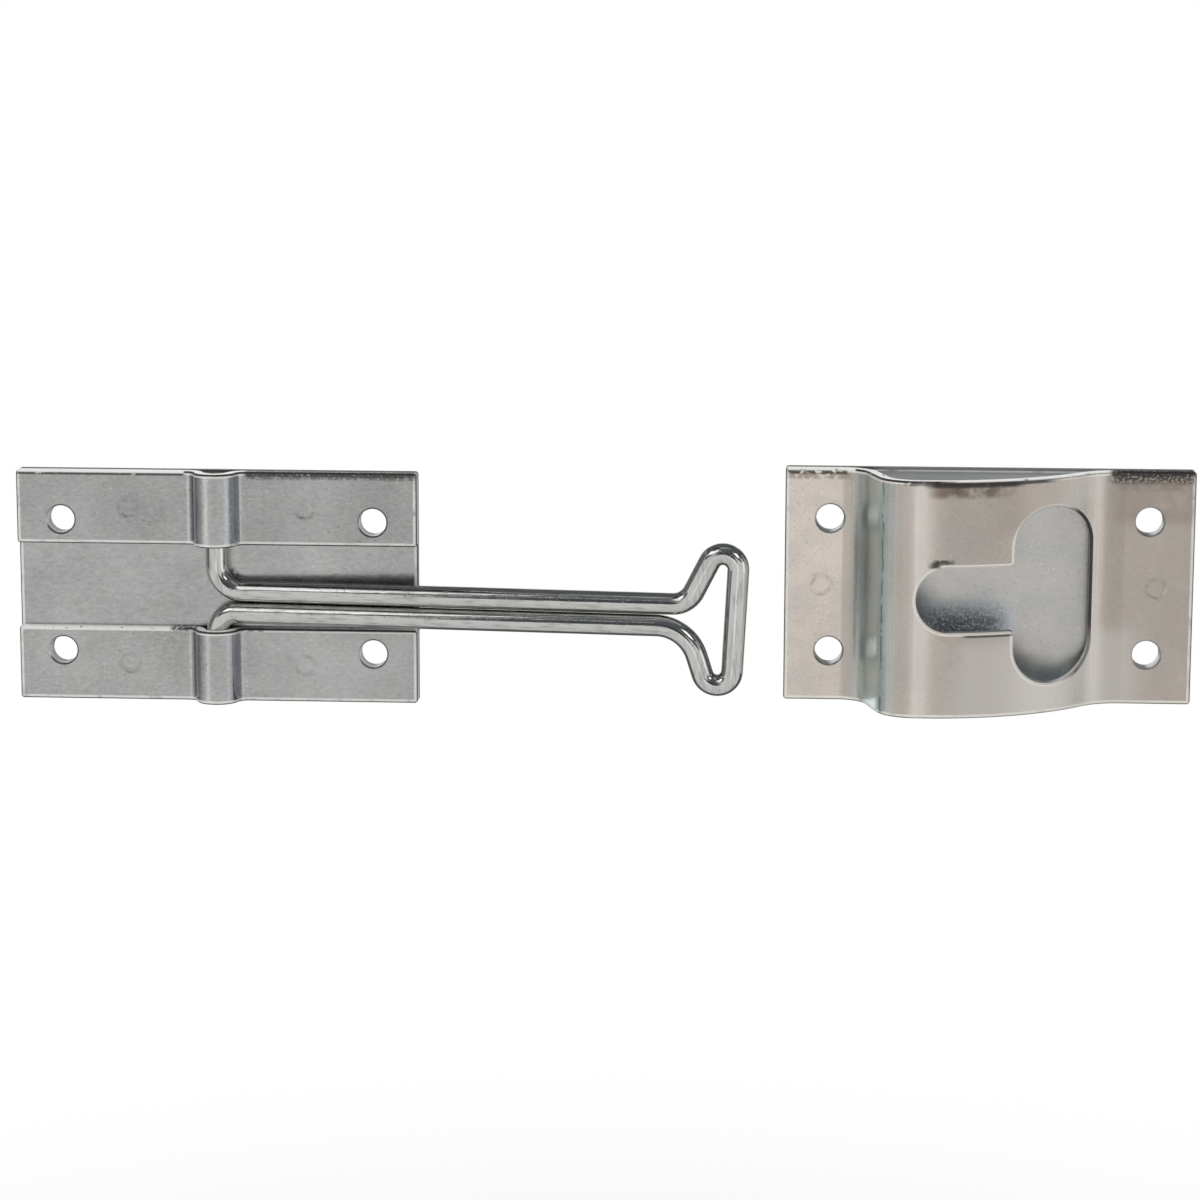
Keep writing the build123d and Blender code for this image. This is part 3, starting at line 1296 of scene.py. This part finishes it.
@dataclass
class Studio:
    """White studio with a pale floor, dark flags, soft lamps and the camera, in metres.

    Attributes:
        camera_place: Where the camera stands.
        camera_target: The point that the camera and the lamps face.
        camera_roll: Turn of the camera about its view, in degrees.
        camera_near: Distance from which the camera sees.
        lens: Focal length, in millimetres.
        sensor: Width of the sensor, in millimetres.
        floor_drop: Distance of the floor below the origin.
        floor_side: Side of the floor.
        floor_paint: Colour of the floor.
        floor_white: How much of the floor shows white right under the part.
        shadow_reach: Distance at which it shows all white.
        fill: Strength of the surround's light.
        flags: The dark cards.
        lamps: The lamps.
    """

    camera_place: Place = (0.11019, -0.65217, 0.11269)
    camera_target: Place = (0.072505, 0.0, -0.002285)
    camera_roll: float = 0.17
    camera_near: float = 0.01
    lens: float = 104.94
    sensor: float = 36.0
    floor_drop: float = 0.20
    floor_side: float = 40.0
    floor_paint: Colour = (0.9, 0.9, 0.9)
    floor_white: float = 0.45
    shadow_reach: float = 0.35
    fill: float = 0.7
    flags: tuple[Flag, ...] = (
        Flag("overhead_flag", (0.07, -0.35, 0.60), (4.0, 3.0), fade=0.12),
        Flag("leg_flag", (-0.18, -0.14, 0.585), (0.24, 0.26), fade=0.10, tint=(0.03, 0.03, 0.03)),
        Flag(
            "front_flag", (0.02, -1.00, 0.34), (0.60, 0.64), turn=(90.0, 0.0), fade=0.10,
            tint=(0.10, 0.11, 0.12),
        ),
        Flag(
            "left_flag", (-0.75, 0.20, 0.10), (1.3, 1.1), turn=(90.0, 80.0), fade=0.25,
            tint=(0.22, 0.23, 0.24),
        ),
        Flag("right_flag", (0.90, 0.42, 0.10), (0.7, 1.1), turn=(90.0, 90.0), tint=(0.25, 0.25, 0.25)),
        Flag("left_back_flag", (-0.70, 0.90, 0.20), (0.9, 1.0), turn=(90.0, 0.0)),
        Flag("right_back_flag", (1.05, 0.90, 0.20), (1.2, 1.0), turn=(90.0, 0.0)),
        Flag("under_flag", (0.07, 0.285, -0.18), (2.6, 0.63)),
    )
    lamps: tuple[Softbox, ...] = (
        Softbox("left_strip", (-0.48, -0.51, 0.05), (0.16, 0.9), 0.9, HookHalf.sheets),
        Softbox("left_wall", (-0.65, 0.05, 0.05), (0.60, 0.9), 0.30, (*HookHalf.sheets, Node.KEEPER_STRAP)),
        Softbox("rear_wall", (-0.25, 0.62, 0.05), (0.50, 0.9), 0.60, (Node.KEEPER_STRAP,)),
        Softbox("right_strip", (0.95, -0.42, 0.05), (0.34, 0.9), 0.55),
        Softbox("front_strip", (0.09, -0.75, -0.05), (0.20, 0.30), 1.05, KeeperHalf.nodes),
        Softbox("front_fill", (-0.26, -0.75, -0.05), (0.48, 0.30), 0.25, (Node.KEEPER_STRAP,)),
        Softbox("wire_strip", (0.06, -0.75, -0.08), (0.20, 0.24), 0.35, (Node.WIRE_HOOK,)),
        Softbox("wire_softbox", (-0.155, -0.385, 0.35), (0.11, 0.30), 1.3, (Node.WIRE_HOOK,)),
        Softbox("top_strip", (0.11, -0.15, 0.58), (0.32, 0.16), 0.35, (Node.WIRE_HOOK,)),
        Softbox("left_spark", (-0.34, -0.35, 0.40), (0.20, 0.20), 2.2, (Node.WIRE_HOOK,)),
        Softbox("right_spark", (0.45, -0.42, 0.40), (0.20, 0.20), 2.2, (Node.WIRE_HOOK,)),
        Softbox("key", (-0.25, -0.55, 0.75), (0.5, 0.5), 2.0),
    )

    def build(self) -> None:
        """Set everything up."""
        scene = bpy.context.scene
        scene.view_settings.view_transform = "Standard"
        self.add_world(scene)
        self.add_floor()
        for flag in self.flags:
            flag.build()
        for lamp in self.lamps:
            lamp.build(Vector(self.camera_target))
        self.add_camera(scene)

    @staticmethod
    def shown(graph: Graph) -> Term:
        """Which rays see the background as white.

        Args:
            graph: Node graph of the floor or the surround.

        Returns:
            1 for rays from the camera, a mirror or a glass, and 0 for others.
        """
        rays = graph.node("ShaderNodeLightPath").outputs
        seen = Term(graph, rays["Is Camera Ray"]).most(Term(graph, rays["Is Glossy Ray"]))
        return seen.most(Term(graph, rays["Is Transmission Ray"]))

    def add_world(self, scene: bpy.types.Scene) -> None:
        """White surround that shows as white and lights at a plain level.

        Args:
            scene: The scene that gets it.
        """
        world = bpy.data.worlds.new("white_surround")
        world.use_nodes = True
        graph = Graph(world.node_tree)
        soft, clear = (
            graph.node("ShaderNodeBackground", {}, {"Color": opaque(WHITE), "Strength": strength})
            for strength in (self.fill, 1.0)
        )
        sides = {0: self.shown(graph), 1: soft.outputs[0], 2: clear.outputs[0]}
        graph.close("ShaderNodeOutputWorld", graph.node("ShaderNodeMixShader", {}, sides))
        scene.world = world

    def add_floor(self) -> None:
        """Pale floor that shows white, apart from the part's shadow."""
        floor = stage_sheet("floor", (self.floor_side, self.floor_side), (0.0, 0.0, -self.floor_drop))
        material = new_material("pale_floor")
        graph = Graph(material.node_tree)
        x, y, _ = graph.parts(graph.place())
        clear = (x - self.camera_target[0]).hypot(y).rise(0.0, self.shadow_reach)
        paint = graph.node("ShaderNodeBsdfDiffuse", {}, {"Color": opaque(self.floor_paint)})
        white = graph.node("ShaderNodeEmission", {}, {"Color": opaque(WHITE), "Strength": 1.0})
        share = self.shown(graph) * (self.floor_white + clear * (1 - self.floor_white))
        sides = {0: share, 1: paint.outputs[0], 2: white.outputs[0]}
        graph.close("ShaderNodeOutputMaterial", graph.node("ShaderNodeMixShader", {}, sides))
        floor.data.materials.append(material)

    def add_camera(self, scene: bpy.types.Scene) -> None:
        """Camera at the photograph's place.

        Args:
            scene: The scene that gets it.
        """
        lens = bpy.data.cameras.new("camera")
        lens.lens = self.lens
        lens.sensor_width = self.sensor
        lens.clip_start = self.camera_near
        camera = bpy.data.objects.new("camera", lens)
        scene.collection.objects.link(camera)
        place = Vector(self.camera_place)
        aim = (place - Vector(self.camera_target)).to_track_quat("Z", "Y").to_matrix().to_4x4()
        roll = Matrix.Rotation(math.radians(self.camera_roll), 4, "Z")
        camera.matrix_world = Matrix.Translation(place) @ aim @ roll
        scene.camera = camera


def main() -> None:
    """Dress both halves and set up the studio."""
    logging.basicConfig(level=logging.INFO, format="%(name)s: %(message)s")
    HookHalf().dress()
    KeeperHalf().dress()
    Studio().build()


if __name__ == "__main__":
    main()
